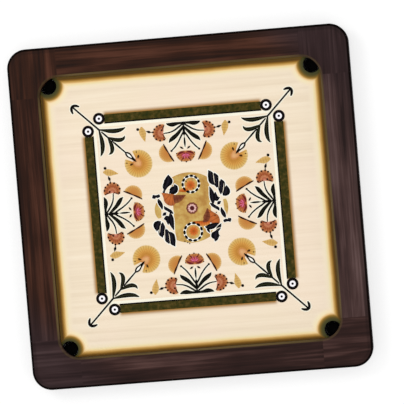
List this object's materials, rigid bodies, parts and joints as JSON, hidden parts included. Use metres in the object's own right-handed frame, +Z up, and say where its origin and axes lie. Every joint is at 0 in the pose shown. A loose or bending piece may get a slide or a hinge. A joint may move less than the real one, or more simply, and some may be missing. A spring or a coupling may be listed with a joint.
{
  "type": "carrom board",
  "caption": "Square wooden tabletop game board with a raised round-cornered frame, a printed playing surface and corner pocket holes over nets.",
  "frame": {"origin": "centre of the board on the plane that the frame rests on", "axes": "+Z up out of the playing surface, +X to the right and +Y to the back as the picture shows the board"},
  "size_m": [0.895, 0.895, 0.05],
  "materials": {
    "frame_wood": "dark rosewood stain under satin lacquer",
    "panel_plywood": "cream face veneer, printed and polished",
    "batten_wood": "sawn softwood, unfinished",
    "dowel_wood": "plain hardwood dowel",
    "screw_steel": "zinc plated",
    "tack_steel": "blued steel",
    "ring_plastic": "black moulded",
    "net_cord": "black knotted nylon"
  },
  "bodies": {
    "root": {"rail_back": "frame_wood", "panel_screws_back": "screw_steel", "rail_left": "frame_wood", "panel_screws_left": "screw_steel", "rail_front": "frame_wood", "panel_screws_front": "screw_steel", "rail_right": "frame_wood", "panel_screws_right": "screw_steel", "corner_block_back_right": "frame_wood", "dowels_back_right": "dowel_wood", "pocket_ring_back_right": "ring_plastic", "pocket_net_back_right": "net_cord", "pocket_tacks_back_right": "tack_steel", "corner_block_back_left": "frame_wood", "dowels_back_left": "dowel_wood", "pocket_ring_back_left": "ring_plastic", "pocket_net_back_left": "net_cord", "pocket_tacks_back_left": "tack_steel", "corner_block_front_left": "frame_wood", "dowels_front_left": "dowel_wood", "pocket_ring_front_left": "ring_plastic", "pocket_net_front_left": "net_cord", "pocket_tacks_front_left": "tack_steel", "corner_block_front_right": "frame_wood", "dowels_front_right": "dowel_wood", "pocket_ring_front_right": "ring_plastic", "pocket_net_front_right": "net_cord", "pocket_tacks_front_right": "tack_steel", "playing_panel": "panel_plywood", "batten_long": "batten_wood", "batten_screws_long": "screw_steel", "batten_cross": "batten_wood", "batten_screws_cross": "screw_steel"}
  },
  "joints": []
}
